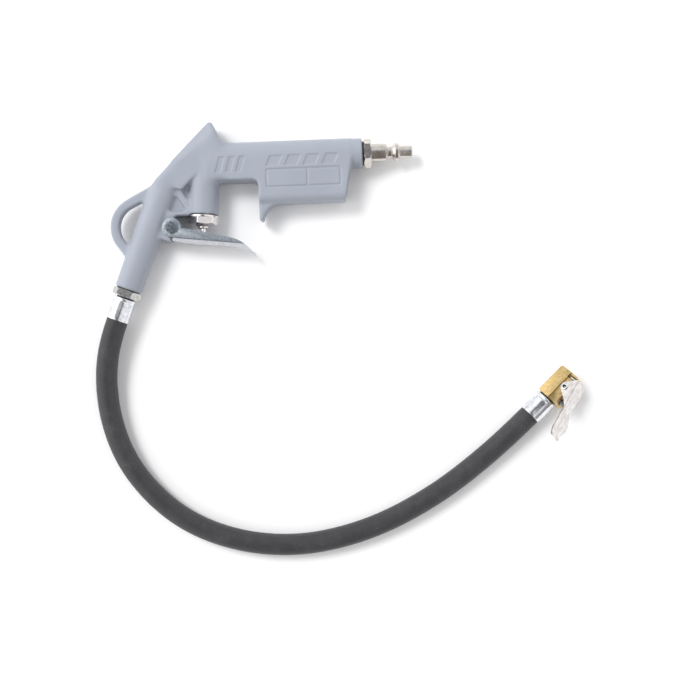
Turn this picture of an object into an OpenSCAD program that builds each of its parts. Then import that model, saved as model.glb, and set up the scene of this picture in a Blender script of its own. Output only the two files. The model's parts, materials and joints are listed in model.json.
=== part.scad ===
// Tyre inflator gun: a cast trigger gun with a quick-connect air plug, a short
// rubber hose and a clip-on chuck for the tyre valve.
//
// The gun lies on its side. In the layout +X runs along the air inlet and out
// of its plug, +Y runs from the trigger to the top of the grip, and +Z is up.
// place() then moves the layout so that the origin is under the gun's middle.

/* [Grip] */
// Thickness of the grip from side to side
grip_t = 20.2; // [20.2:0.1:21]
// Radius of the air tube along the top of the grip
tube_r = 10; // [9.8:0.05:10.05]
// Depth of the marks cast into the grip's two faces
mark_depth = 0.5; // [0.3:0.1:0.8]
// Radius of the long edges under the skirt
skirt_edge_r = 5; // [2:0.5:7]
// Depth of the pocket cored into the skirt from its rear end
pocket_depth = 50; // [20:1:52]
// Radius of the air passage along the grip
passage_r = 3.5; // [2:0.1:4.5]

/* [Barrel and valve column] */
// Angle between the barrel and the grip
barrel_angle = 68; // [67:0.5:69]
// Radius of the barrel at its open end
barrel_r = 8.75; // [8.5:0.05:9.2]
// Radius of the barrel where it meets the head
barrel_top_r = 9.7; // [9.3:0.05:10]
// Radius of the valve column
column_r = 9.6; // [9.3:0.05:9.9]
// Lean of the valve column away from the grip's normal
column_lean = 4; // [3:0.5:5]
// Half the thickness of the thin web between barrel and column
web_half = 2.8; // [2.4:0.1:4]
// Width of the hanging hook's bar
hook_w = 6; // [5:0.1:7]
// Thickness of the hanging hook's bar
hook_t = 8; // [6:0.5:10]

/* [Air inlet plug] */
// Distance across the flats of the plug's hexagon
inlet_hex = 16.4; // [15:0.1:17]
// Radius of the nose that the air line's coupling grips
nose_r = 4.05; // [3.9:0.05:4.2]
// Radius of the locking collar behind the nose
collar_r = 5.8; // [5.5:0.1:6]
// Bore through the plug
plug_bore_r = 2.9; // [2:0.1:3.2]

/* [Valve] */
// Radius of the valve stem
stem_r = 1.75; // [1.7:0.01:1.8]
// Distance across the flats of the valve cap
cap_hex = 16.6; // [15:0.1:17]
// Stroke of the stem at full trigger
stem_stroke = 2.8; // [2:0.1:3]

/* [Trigger] */
// Sheet thickness of the trigger
trigger_sheet = 1.2; // [1:0.1:1.3]
// Width between the trigger's two cheeks
trigger_gap = 11.8; // [11.6:0.1:12.4]
// Radius of the trigger's eyes round the pin
trigger_eye_r = 6.2; // [5.5:0.1:6.4]
// Radius of the trigger's pin
trigger_pin_r = 2; // [1.5:0.1:2.5]

/* [Hose] */
// Outer radius of the hose
hose_r = 6.9; // [6.5:0.1:6.9]
// Radius of the hose's bore
hose_bore_r = 4.2; // [4.2:0.1:4.6]
// Length of each crimped sleeve
ferrule_len = 15; // [12:0.5:16]
// Outer radius of each crimped sleeve
ferrule_r = 7.45; // [7.4:0.05:7.7]

/* [Chuck] */
// Direction in which the chuck points, from the grip's direction
chuck_angle = 43.3; // [43:0.1:44]
// Roll of the chuck about the hose, which lifts its lever off the floor
chuck_roll = 38; // [35:0.5:40]
// Length of the brass block
block_len = 22; // [21.8:0.1:23]
// Radius of the port that takes the tyre valve
port_r = 4.15; // [4.1:0.05:4.2]
// Sheet thickness of the chuck's lever
lever_sheet = 1.2; // [1:0.1:1.2]
// Width of the lever's thumb paddle
paddle_w = 20; // [16:0.5:22]

/* [Hidden] */
$fn = 72;
hull_fn = 32;
// Length that is sure to pass right through any part it cuts
through = 60;

// Where the middle of the gun's box sits in the layout
layout_mid = [0.75, 1.25];
// Height of the gun's middle plane, as it lies on the grip's face
mid_z = grip_t / 2;

paint = [0.69, 0.72, 0.77];
nickel = [0.72, 0.71, 0.68];
zinc = [0.76, 0.79, 0.82];
bright = [0.87, 0.88, 0.9];
brass = [0.81, 0.69, 0.43];
black = [0.16, 0.16, 0.17];
nylon = [0.9, 0.89, 0.84];

// Grip and skirt
inlet_y = 32.4;
boss_x = 67;
boss_len = 7;
boss_r = 9.7;
grip_x0 = -34;
finger_y = 17;
skirt_x = -0.7;
skirt_y = 1.5;
skirt_rear = [[55, skirt_y], [59.9, 28.1], [59.9, inlet_y + 1]];
finger_fillet = 3.6;
spur_tip = [0.4, -8.4];
spur_tip_r = 1.2;
spur_sweep_r = 12;
spur_root = 8;
spur_t = 13;
pocket_wall = 2.6;
port_thread_r = 5.6;
port_thread_len = 14;

// Recessed marks: each bar has a lower edge, a width and a height
short_bars_x = [-28.2, -21.6, -15];
short_bar = [21.9, 3.6, 10];
wide_bars_x = [4.5, 16.5, 28.5, 40.5];
wide_bar = [25, 8, 6.6];
bar_lean = 3;
frame_corner = [4.4, 11];
frame_size = [48.5, 12.2];
frame_line = 1;
frame_split = 25.2;

// Head: the slanted top edge runs from the kink to the peak
kink = [-69, 17.9];
peak = [-31.2, 53.8];
peak_r = 2;
peak_t = 9;
head_t = 18.6;
head_slab = [kink, [-50, 12], [-22.4, 40.5], [-27.8, 47.6]];
nape = [[-31, 51], [-27.7, 48.3], [-25.8, 45], [-22.6, 42.9], [-17, 42.3], [-30, 38]];
nape_t = 12;
head_slope = 45.6;

// Barrel
barrel_end = [-88.3, -50.3];
barrel_len = 78;
barrel_bore_r = 4;
barrel_bore_len = 68;
nipple_thread_r = 5.4;
nipple_thread_len = 12;

// Plug: the threaded shank, and the turned outline that the coupling takes
shank_start = 55;
shank_r = 5.5;
inlet_hex_x = [68.5, 73];
inlet_outline = [
    [0, 72], [5.75, 72], [5.75, 82.5], [5.2, 82.9], [3.75, 83.4], [3.75, 86.1],
    [collar_r, 88.5], [collar_r, 90.4], [nose_r, 91.4], [nose_r, 99.1], [3.6, 99.5], [0, 99.5]
];
washer_r = 7.6;
inlet_washer_t = 1.5;

// Valve column, with heights measured along it from its lower end
column_end = [-37.5, -3.8];
column_len = 41;
column_top_r = 7.5;
column_top_len = 4;
cap_thread_r = 6.6;
cap_thread_len = 9.5;
seat_r = 6;
seat_z = 14;
seat_len = 3;
chamber_r = 5;
chamber_end = 34.5;
cross_start = [-36.7, 7.7];
cross_angle = 167.1;
cross_len = 25;
cross_r = 1.7;
// Valve cap, below the column
cap_washer_r = 9.2;
cap_washer_t = 0.4;
cap_flange_r = 9.5;
cap_flange_t = 1.5;
cap_hex_len = 4.5;
cap_hex_turn = 13;
cap_cone_z = -7.7;
cap_cone_r = [3.7, 6.3];
cap_cone_len = 2.5;
cap_collar_z = -9;
cap_collar_r = 3.5;
cap_collar_len = 2.5;
cap_overlap = 0.5;
cap_recess_r = 4.5;
cap_clearance_r = 9.9;
// Stem, from its rounded tip to the head above the seat
stem_outline = [
    [0, -17.6], [0.9, -17.4], [1.5, -16.9], [stem_r, -16.2], [stem_r, 18.6],
    [3.6, 18.6], [3.6, 20.4], [1.6, 20.4], [1.6, 22.5], [0, 22.5]
];
stem_seal_wire = 1.1;
stem_seal_z = 3.2;
seat_bore_r = 2.6;
seat_lip_r = 3.6;
seat_lip = 0.4;
disc_r = 4.1;
disc_t = 1.1;
valve_coil_r = 2.7;
valve_wire_r = 0.4;
valve_coil_z = 20.5;
valve_turns = 8;

// Web, ribs and trigger lug between barrel and column
web_outline = [[-70, -8], [-58, 20], [-44, 30], [-36, 30], [-38, -3.3], [-58, -3.3]];
web_foot = [[-60, -4.2], [-44, -4.2], [-44, -1.4], [-60, -1.4]];
web_foot_half = 6;
rib_mid = [-51.15, 8.65];
rib_angle = 121.5;
rib_len = 22;
rib_r = 2.3;
rib_half = 5.5;
lug_outline = [[-74, -14], [-67.9, -17.8], [-58.6, -21.2], [-58.6, -10], [-54.6, -3], [-66, -3]];
lug_t = 11;
lug_r = 5.2;

// Hanging hook: two straight legs joined by one round bend
hook_c = [-77.8, -10.3];
hook_bend_r = 17.2;
hook_a0 = 117;
hook_a1 = 217;
hook_top_len = 22;
hook_foot_len = 16;

// Trigger
pivot = [-57.7, -11.85];
trigger_t = trigger_gap + 2 * trigger_sheet;
eye_relief = 0.4;
pin_hole_r = trigger_pin_r + 0.06;
pin_head_r = 4.2;
pin_head_t = 1.4;
pin_head_gap = 0.3;
// Straight part of the web's underside, then the two bends that end the trigger
web_start = [-57.3, -20.35];
web_mid = [-42.9, -22.45];
cheek_top = [[-57.3, -8.75], [-52.7, -12.15], [-42.5, -13.95]];
web_bend = [-24.9, -55.85];
web_bend_r = 31.5;
web_a0 = 84.2;
web_a1 = 49.4;
cheek_bend = [-26.7, -43.55];
cheek_bend_r = 25;
cheek_a0 = 77;
cheek_a1 = 29.4;

// Hose route, from inside the gun's sleeve to inside the chuck's sleeve
hose_route = [
    [-91, -57, 10.1], [-96.7, -71, 10.1], [-102, -86, 9.5], [-105, -102, 8.4],
    [-105.3, -118, 7.3], [-103.3, -134, 6.9], [-98.8, -150, 6.9], [-92, -164.8, 6.9],
    [-82.5, -178.4, 6.9], [-71.3, -190.5, 6.9], [-58.8, -200.5, 6.9], [-44.8, -208.4, 6.9],
    [-30, -214.2, 6.9], [-14.5, -218.2, 6.9], [1, -220.3, 6.9], [16.5, -220.7, 6.9],
    [31.5, -219.3, 6.9], [46, -216.5, 6.9], [60, -212.7, 6.9], [73, -208, 6.9],
    [85.5, -202.5, 6.9], [97.3, -196.3, 6.9], [109, -189.7, 6.9], [120.2, -182.3, 6.9],
    [131, -174.5, 6.9], [142, -166, 7], [153, -156.8, 7.5], [163.8, -147.1, 8.2],
    [170.2, -141.3, 8.6], [179.4, -132.6, 8.6]
];
hose_sides = 12;
outlet_hex = 16.4;
neck_z = 5.3;
neck_len = 1;
neck_r = 5.6;
outlet_washer_t = 0.5;
outlet_nipple_bore_r = 2.6;
ferrule_wall_end = 0.7;
ferrule_fit = 0.05;
barb_len = 20;
barb_r = 4;
barb_count = 3;
barb_depth = 0.6;

// Chuck, in its own frame: X along the hose, -Y towards the lever, Z across
chuck_rear = [181.2, -130.9];
chuck_z = 8.6;
block_half = 7;
block_flat_half = 5.8;
block_low = 4.7;
block_high = 10.1;
block_step = 4;
block_chamfer = 1;
slot_x = 18.4;
slot_len = 2.4;
slot_floor = 3.6;
chuck_thread_r = 4.5;
chuck_thread_len = 5.5;
chuck_nipple_bore_r = 2.2;
core_pin_x = 5.6;
core_pin_r = 1.1;
core_pin_head_r = 1.85;
seal_x = 7.5;
seal_r = 3.6;
seal_len = 2.4;
port_x = seal_x + seal_len;
lever_pivot = [12, 7.8];
lever_gap = 2 * block_flat_half + 0.6;
lever_t = lever_gap + 2 * lever_sheet;
lever_front_gap = 0.3;
rivet_r = 1.6;
rivet_head_r = 2.2;
rivet_head_t = 0.8;
rivet_bore_r = 0.8;
rivet_gap = 0.3;
ear_r = 3.2;
ear_front = [20.6, 12.3];
ear_rear = [2.9, 17.6];
tooth_x = 19;
tooth_t = 1;
tooth_tip = 4.6;
tooth_w = 10.6;
tooth_len = 7.9;
paddle_mid = [-6, 21.6];
paddle_end = [-16, 23.9];
// Half outline of the lever seen from above, from its front to its tail
lever_plan = [[21, lever_t / 2], [2, lever_t / 2], [-1.5, paddle_w / 2], [-9, paddle_w / 2], [-17, 6.5]];
coil_x = 3.6;
coil_floor = 5.3;
coil_top = 15.6;
coil_pocket_r = 2.4;
coil_r = 1.7;
coil_wire_r = 0.35;
coil_turns = 6;

function unit(v) = v / norm(v);
function arc(c, r, a0, a1, n) = [
    for (i = [0:n]) c + r * [cos(a0 + (a1 - a0) * i / n), sin(a0 + (a1 - a0) * i / n)]
];
function reversed(p) = [for (i = [len(p) - 1:-1:0]) p[i]];

// Rings of points round a path, and the faces that join each ring to the next
function heading(p, i) = unit(p[min(i + 1, len(p) - 1)] - p[max(i - 1, 0)]);
function ring(c, t, r, sides) =
    let (u = unit(cross(t, [0, 0, 1])), w = cross(u, t))
    [for (k = [0:sides - 1]) c + r * (cos(k * 360 / sides) * u + sin(k * 360 / sides) * w)];
function rings(p, r, sides) = [for (i = [0:len(p) - 1]) each ring(p[i], heading(p, i), r, sides)];
function skin(first, count, sides, out) = [
    for (i = [0:count - 2], k = [0:sides - 1])
        let (
            a = first + i * sides + k,
            b = first + i * sides + (k + 1) % sides,
            quad = [a, b, b + sides, a + sides]
        )
        each out
            ? [[quad[0], quad[1], quad[2]], [quad[0], quad[2], quad[3]]]
            : [[quad[2], quad[1], quad[0]], [quad[3], quad[2], quad[0]]]
];
// Flat end of a hollow tube between its outer ring and its inner ring
function washer(outer, inner, sides, out) = [
    for (k = [0:sides - 1])
        let (
            n = (k + 1) % sides,
            quad = [outer + k, outer + n, inner + n, inner + k]
        )
        each out
            ? [[quad[0], quad[1], quad[2]], [quad[0], quad[2], quad[3]]]
            : [[quad[2], quad[1], quad[0]], [quad[3], quad[2], quad[0]]]
];

module place() {
    translate([-layout_mid[0], -layout_mid[1], 0]) children();
}

// Centred slab of the children's outline, at the gun's middle plane
module slab(t) {
    translate([0, 0, mid_z - t / 2]) linear_extrude(t) children();
}

// Turned parts: +Z of the children runs from a point in the layout at an angle
module turned(from, angle, z = mid_z) {
    translate([from[0], from[1], z]) rotate([0, 0, angle]) rotate([0, 90, 0]) children();
}

module in_column() {
    turned(column_end, 90 - column_lean) children();
}

// Heights run outwards from the barrel's open end
module at_outlet() {
    turned(barrel_end, barrel_angle + 180) children();
}

// Hexagon with a flat facing up
module hexagon(across_flats, z, h, turn = 0) {
    translate([0, 0, z]) rotate([0, 0, 30 + turn])
        cylinder(h = h, d = across_flats / cos(30), $fn = 6);
}

module ring_solid(r_out, r_in, z, h) {
    translate([0, 0, z]) difference() {
        cylinder(h = h, r = r_out);
        translate([0, 0, -1]) cylinder(h = h + 2, r = r_in);
    }
}

module o_ring(r_mid, r_wire, z) {
    translate([0, 0, z]) rotate_extrude() translate([r_mid, 0]) circle(r = r_wire, $fn = 24);
}

// Solid round wire along a path
module wire(p, r, sides) {
    n = len(p);
    polyhedron(
        points = rings(p, r, sides),
        faces = concat(
            skin(0, n, sides, true),
            [reversed([for (k = [0:sides - 1]) k])],
            [[for (k = [0:sides - 1]) (n - 1) * sides + k]]
        )
    );
}

// Compression spring along Z, from z = 0 to z = h
module coil(r, wire_r, h, turns) {
    steps = 12;
    path = [
        for (i = [0:turns * steps])
            [r * cos(i * 360 / steps), r * sin(i * 360 / steps),
             wire_r + (h - 2 * wire_r) * i / (turns * steps)]
    ];
    wire(path, wire_r, 6);
}

// ---- Gun body ----

// Section across the plate under the air tube, with round edges under the skirt
module grip_section() {
    half = grip_t / 2;
    low = skirt_y + skirt_edge_r;
    translate([low, -half]) square([inlet_y - low, grip_t]);
    translate([skirt_y, skirt_edge_r - half]) square([skirt_edge_r + 1, grip_t - 2 * skirt_edge_r]);
    for (s = [-1, 1])
        translate([low, s * (half - skirt_edge_r)]) circle(r = skirt_edge_r);
}

module grip_outline() {
    polygon(concat(
        [[grip_x0, inlet_y + 1], [grip_x0, finger_y]],
        arc([skirt_x - finger_fillet, finger_y - finger_fillet], finger_fillet, 90, 0, 8),
        [[skirt_x, skirt_y]],
        skirt_rear
    ));
}

module grip() {
    intersection() {
        slab(grip_t + 4) grip_outline();
        translate([grip_x0, 0, mid_z]) rotate([90, 0, 90])
            linear_extrude(boss_x - grip_x0) grip_section();
    }
    turned([grip_x0 + 1, inlet_y], 0) cylinder(h = boss_x - boss_len - grip_x0 - 1, r = tube_r);
    turned([boss_x - boss_len - 1, inlet_y], 0) cylinder(h = boss_len + 1, r = boss_r);
}

// Finger spur in front of the skirt
module spur() {
    sweep_c = [spur_tip[0] + spur_tip_r + spur_sweep_r, skirt_y - spur_sweep_r];
    slab(spur_t) polygon(concat(
        [[spur_tip[0] - spur_tip_r, skirt_y + spur_root]],
        arc(spur_tip, spur_tip_r, 180, 350, 10),
        arc(sweep_c, spur_sweep_r, 172, 92, 10),
        [[sweep_c[0], skirt_y + spur_root]]
    ));
}

// Slanted bar with its lower left corner at x
module slanted_bar(x, bar) {
    low = bar[0];
    high = bar[0] + bar[2];
    polygon([[x, low], [x + bar[1], low], [x + bar[1] + bar_lean, high], [x + bar_lean, high]]);
}

module mark_outlines() {
    inner_h = frame_size[1] - 2 * frame_line;
    for (x = short_bars_x)
        slanted_bar(x, short_bar);
    for (x = wide_bars_x)
        slanted_bar(x, wide_bar);
    translate(frame_corner) difference() {
        square(frame_size);
        translate([frame_line, frame_line]) square([frame_split, inner_h]);
        translate([2 * frame_line + frame_split, frame_line])
            square([frame_size[0] - frame_split - 3 * frame_line, inner_h]);
    }
}

// Recessed bars and a blank label frame, alike on both faces
module marks() {
    for (z = [0, 2 * mid_z])
        translate([0, 0, z - mark_depth]) linear_extrude(2 * mark_depth) mark_outlines();
}

module head() {
    hull() {
        slab(head_t) polygon(head_slab);
        translate([peak[0], peak[1], mid_z]) cylinder(h = peak_t, r = peak_r, center = true, $fn = hull_fn);
    }
    slab(nape_t) polygon(nape);
}

// Barrel, mitred along the head's slanted top edge
module barrel() {
    difference() {
        turned(barrel_end, barrel_angle) cylinder(h = barrel_len, r1 = barrel_r, r2 = barrel_top_r);
        translate([kink[0], kink[1], -50]) rotate([0, 0, head_slope]) translate([-40, 0, 0]) cube([120, 40, 150]);
    }
}

module column() {
    in_column() {
        translate([0, 0, -1]) cylinder(h = column_len + 1, r = column_r);
        translate([0, 0, column_len]) cylinder(h = column_top_len, r1 = column_r, r2 = column_top_r);
    }
}

module web_and_ribs() {
    slab(2 * web_half) polygon(web_outline);
    slab(2 * web_foot_half) polygon(web_foot);
    translate([rib_mid[0], rib_mid[1], mid_z]) rotate([0, 0, rib_angle])
        cube([rib_len, 2 * rib_r, 2 * rib_half], center = true);
}

module lug() {
    slab(lug_t) {
        polygon(lug_outline);
        translate(pivot) circle(r = lug_r);
    }
}

module hook() {
    w = hook_w / 2;
    // Each leg leaves the bend along its tangent
    top = hook_top_len * [sin(hook_a0), -cos(hook_a0)];
    foot = hook_foot_len * [-sin(hook_a1), cos(hook_a1)];
    outer = arc(hook_c, hook_bend_r + w, hook_a0, hook_a1, 20);
    inner = arc(hook_c, hook_bend_r - w, hook_a1, hook_a0, 20);
    slab(hook_t) polygon(concat(
        [outer[0] + top], outer, [outer[20] + foot],
        [inner[0] + foot], inner, [inner[20] + top]
    ));
}

module air_passages() {
    // Inlet thread and passage along the grip
    turned([boss_x - port_thread_len, inlet_y], 0) cylinder(h = port_thread_len + 1, r = port_thread_r);
    turned([-34.6, inlet_y], 0) cylinder(h = boss_x - port_thread_len + 35, r = passage_r);
    // Valve bore: room for the cap, thread, seat and chamber
    in_column() {
        translate([0, 0, -through / 2]) cylinder(h = through / 2, r = cap_clearance_r);
        translate([0, 0, -3]) cylinder(h = cap_thread_len + 3, r = cap_thread_r);
        cylinder(h = seat_z + seat_len, r = seat_r);
        cylinder(h = chamber_end, r = chamber_r);
    }
    // Barrel bore and its thread, and the cross passage from the valve
    turned(barrel_end, barrel_angle) {
        translate([0, 0, -1]) cylinder(h = nipple_thread_len + 1, r = nipple_thread_r);
        cylinder(h = barrel_bore_len, r = barrel_bore_r);
    }
    turned(cross_start, cross_angle) cylinder(h = cross_len, r = cross_r);
}

module skirt_pocket() {
    x0 = skirt_rear[1][0] - pocket_depth;
    y0 = skirt_y + pocket_wall;
    y1 = inlet_y - tube_r - pocket_wall;
    w = grip_t - 2 * pocket_wall;
    translate([x0, y0, mid_z - w / 2]) cube([pocket_depth + 20, y1 - y0, w]);
}

module body_casting() color(paint) place() difference() {
    union() {
        grip();
        spur();
        head();
        barrel();
        column();
        web_and_ribs();
        lug();
        hook();
    }
    marks();
    air_passages();
    skirt_pocket();
    translate([pivot[0], pivot[1], -1]) cylinder(h = through, r = trigger_pin_r + 0.02);
    // Relief beside the lug, so that the trigger's eyes clear the barrel
    for (s = [-1, 1])
        translate([pivot[0], pivot[1], mid_z + s * (lug_t / 2 + 10)])
            cylinder(h = 20, r = trigger_eye_r + eye_relief, center = true);
}

// ---- Air inlet ----

module inlet_plug() color(nickel) place() turned([0, inlet_y], 0) difference() {
    union() {
        translate([0, 0, shank_start]) cylinder(h = inlet_hex_x[0] - shank_start + 0.5, r = shank_r);
        hexagon(inlet_hex, inlet_hex_x[0], inlet_hex_x[1] - inlet_hex_x[0]);
        rotate_extrude() polygon(inlet_outline);
    }
    translate([0, 0, shank_start - 1]) cylinder(h = through, r = plug_bore_r);
}

module inlet_seal() color(black) place() turned([boss_x, inlet_y], 0)
    ring_solid(washer_r, shank_r + 0.1, 0, inlet_washer_t);

// ---- Valve ----

module valve_cap() color(nickel) place() in_column() difference() {
    flange_z = -cap_washer_t - cap_flange_t;
    union() {
        translate([0, 0, -1]) cylinder(h = cap_thread_len, r = cap_thread_r - 0.1);
        translate([0, 0, flange_z]) cylinder(h = cap_flange_t, r = cap_flange_r);
        hexagon(cap_hex, flange_z - cap_hex_len + cap_overlap, cap_hex_len, cap_hex_turn);
        translate([0, 0, cap_cone_z]) cylinder(h = cap_cone_len, r1 = cap_cone_r[0], r2 = cap_cone_r[1]);
        translate([0, 0, cap_collar_z]) cylinder(h = cap_collar_len, r = cap_collar_r);
    }
    translate([0, 0, 2]) cylinder(h = cap_thread_len, r = cap_recess_r);
    translate([0, 0, -through / 2]) cylinder(h = through, r = stem_r + 0.05);
}

module cap_seal() color(black) place() in_column()
    ring_solid(cap_washer_r, cap_thread_r + 0.05, -cap_washer_t, cap_washer_t);

module valve_stem() color(brass) place() in_column() rotate_extrude() polygon(stem_outline);

module stem_seal() color(black) place() in_column()
    o_ring(stem_r + 0.04 + stem_seal_wire, stem_seal_wire, stem_seal_z);

module valve_seat() color(nylon) place() in_column() {
    ring_solid(seat_r - 0.05, seat_bore_r, seat_z, seat_len);
    ring_solid(seat_lip_r, seat_bore_r, seat_z + seat_len - 0.2, seat_lip + 0.2);
}

module valve_disc() color(black) place() in_column()
    ring_solid(disc_r, stem_r + 0.02, seat_z + seat_len + seat_lip + 0.05, disc_t);

module valve_spring() color(nickel) place() in_column() translate([0, 0, valve_coil_z])
    coil(valve_coil_r, valve_wire_r, chamber_end - valve_coil_z - 0.1, valve_turns);

// ---- Trigger ----

function web_side(r) =
    let (up = [0.1, r - web_bend_r])
    concat([web_start + up, web_mid + up], arc(web_bend, r, web_a0, web_a1, 14));

module cheek_outline() {
    translate(pivot) circle(r = trigger_eye_r);
    polygon(concat(
        [web_start], cheek_top,
        arc(cheek_bend, cheek_bend_r, cheek_a0, cheek_a1, 14),
        reversed(web_side(web_bend_r))
    ));
}

module trigger() color(zinc) place() difference() {
    union() {
        for (s = [-1, 1])
            translate([0, 0, s * (trigger_gap + trigger_sheet) / 2]) slab(trigger_sheet) cheek_outline();
        slab(trigger_t) polygon(concat(
            web_side(web_bend_r), reversed(web_side(web_bend_r + trigger_sheet))
        ));
    }
    translate([pivot[0], pivot[1], -1]) cylinder(h = through, r = pin_hole_r);
}

module trigger_pin() color(nickel) place() translate([pivot[0], pivot[1], mid_z]) {
    head_z = trigger_t / 2 + pin_head_gap;
    cylinder(h = 2 * head_z, r = trigger_pin_r, center = true);
    for (s = [-1, 1])
        translate([0, 0, s * (head_z + pin_head_t / 2)]) cylinder(h = pin_head_t, r = pin_head_r, center = true);
}

// ---- Hose and its end fittings ----

module outlet_seal() color(black) place() at_outlet()
    ring_solid(washer_r, nipple_thread_r + 0.1, 0, outlet_washer_t);

// Barbed tail along Z, from z = 0, that the hose is pushed over
module barbed_tail() {
    pitch = barb_len / barb_count;
    for (i = [0:barb_count - 1])
        translate([0, 0, i * pitch]) cylinder(h = pitch, r1 = barb_r, r2 = barb_r - barb_depth);
}

module outlet_nipple() color(zinc) place() at_outlet() difference() {
    union() {
        translate([0, 0, outlet_washer_t - nipple_thread_len])
            cylinder(h = nipple_thread_len + 1, r = nipple_thread_r - 0.05);
        hexagon(outlet_hex, outlet_washer_t, neck_z - outlet_washer_t);
        translate([0, 0, neck_z - 1]) cylinder(h = neck_len + 1 + ferrule_wall_end, r = neck_r);
        translate([0, 0, neck_z + neck_len + ferrule_wall_end]) barbed_tail();
    }
    translate([0, 0, -through / 2]) cylinder(h = through, r = outlet_nipple_bore_r);
}

// Crimped sleeve along Z, with the closed end at z = 0
module sleeve() difference() {
    cylinder(h = ferrule_len, r = ferrule_r);
    translate([0, 0, ferrule_wall_end]) cylinder(h = ferrule_len, r = hose_r + ferrule_fit);
    translate([0, 0, -1]) cylinder(h = 3, r = neck_r + 0.05);
}

module gun_ferrule() color(bright) place() at_outlet() translate([0, 0, neck_z + neck_len]) sleeve();

module hose() color(black) place() {
    n = len(hose_route);
    s = hose_sides;
    polyhedron(
        points = concat(rings(hose_route, hose_r, s), rings(hose_route, hose_bore_r, s)),
        faces = concat(
            skin(0, n, s, true),
            skin(n * s, n, s, false),
            washer(0, n * s, s, false),
            washer((n - 1) * s, (2 * n - 1) * s, s, true)
        )
    );
}

// ---- Chuck ----

module at_chuck() {
    translate([chuck_rear[0], chuck_rear[1], chuck_z])
        rotate([0, 0, chuck_angle]) rotate([-chuck_roll, 0, 0]) children();
}

// +Z of the children runs back along the hose from the block's rear
module behind_chuck() {
    at_chuck() rotate([0, -90, 0]) children();
}

// +Z of the children runs forward from the block's rear
module inside_chuck() {
    at_chuck() rotate([0, 90, 0]) children();
}

// Slab across the chuck from an outline drawn as (along the hose, towards the lever)
module across_chuck(t) {
    at_chuck() mirror([0, 1, 0]) translate([0, 0, -t / 2]) linear_extrude(t) children();
}

module chuck_ferrule() color(bright) place() behind_chuck() translate([0, 0, neck_len]) sleeve();

module chuck_nipple() color(zinc) place() difference() {
    union() {
        inside_chuck() cylinder(h = chuck_thread_len - 0.1, r = chuck_thread_r - 0.05);
        behind_chuck() cylinder(h = neck_len + ferrule_wall_end, r = neck_r);
        behind_chuck() translate([0, 0, neck_len + ferrule_wall_end]) barbed_tail();
    }
    behind_chuck() translate([0, 0, -through / 2]) cylinder(h = through, r = chuck_nipple_bore_r);
}

module chuck_body() color(brass) place() difference() {
    union() {
        across_chuck(2 * block_half) polygon([
            [0, -block_low + block_chamfer], [block_chamfer, -block_low],
            [block_len - block_chamfer, -block_low], [block_len, -block_low + block_chamfer],
            [block_len, block_step], [0, block_step]
        ]);
        across_chuck(2 * block_flat_half) polygon([
            [0, 0], [block_len, 0], [block_len, block_high - block_chamfer],
            [block_len - block_chamfer, block_high], [block_chamfer, block_high],
            [0, block_high - block_chamfer]
        ]);
    }
    inside_chuck() {
        translate([0, 0, -1]) cylinder(h = chuck_thread_len + 1, r = chuck_thread_r);
        cylinder(h = block_len, r = 1.9);
        translate([0, 0, seal_x]) cylinder(h = block_len, r = seal_r + 0.05);
        translate([0, 0, port_x]) cylinder(h = block_len, r = port_r);
    }
    across_chuck(through) translate([slot_x, slot_floor]) square([slot_len, 20]);
    across_chuck(through) translate(lever_pivot) circle(r = rivet_r + 0.02);
    at_chuck() translate([coil_x, -coil_floor, 0]) rotate([90, 0, 0]) cylinder(h = 20, r = coil_pocket_r);
}

module chuck_seal() color(black) place() inside_chuck()
    ring_solid(seal_r, 1.7, seal_x, seal_len);

module chuck_pin() color(brass) place() inside_chuck() {
    translate([0, 0, core_pin_x]) cylinder(h = port_x - core_pin_x - 0.2, r = core_pin_r);
    translate([0, 0, core_pin_x]) cylinder(h = 1, r = core_pin_head_r);
}

module ear_outline() {
    polygon(concat(arc(lever_pivot, ear_r, 210, 315, 12), [ear_front, ear_rear]));
}

// Spine, paddle and curled tail, seen from the side
module lever_side() {
    under = [lever_front_gap, lever_sheet];
    polygon([
        ear_front - under, ear_rear - under, paddle_mid - under, paddle_end - under,
        paddle_end, paddle_mid, ear_rear, ear_front
    ]);
}

// Spine and paddle, seen from above: it widens behind the ears and narrows to the tail
module lever_top() {
    polygon(concat(lever_plan, reversed([for (p = lever_plan) [p[0], -p[1]]])));
}

module chuck_lever() color(zinc) place() difference() {
    union() {
        for (s = [-1, 1])
            at_chuck() translate([0, 0, s * (lever_gap + lever_sheet) / 2]) mirror([0, 1, 0])
                translate([0, 0, -lever_sheet / 2]) linear_extrude(lever_sheet) ear_outline();
        intersection() {
            across_chuck(through) lever_side();
            at_chuck() rotate([90, 0, 0]) linear_extrude(through) lever_top();
        }
        across_chuck(tooth_w) translate([tooth_x, tooth_tip]) square([tooth_t, tooth_len]);
    }
    across_chuck(through) translate(lever_pivot) circle(r = rivet_r + 0.06);
}

module chuck_rivet() color(nickel) place() difference() {
    union() {
        across_chuck(lever_t + 2 * rivet_gap) translate(lever_pivot) circle(r = rivet_r);
        for (s = [-1, 1])
            at_chuck() translate([0, 0, s * (lever_t / 2 + rivet_gap + rivet_head_t / 2)])
                mirror([0, 1, 0]) translate([lever_pivot[0], lever_pivot[1], 0])
                    cylinder(h = rivet_head_t, r = rivet_head_r, center = true);
    }
    across_chuck(through) translate(lever_pivot) circle(r = rivet_bore_r);
}

module chuck_spring() color(nickel) place() at_chuck() translate([coil_x, -coil_floor - 0.1, 0])
    rotate([90, 0, 0]) coil(coil_r, coil_wire_r, coil_top - coil_floor - 0.1, coil_turns);

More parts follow.
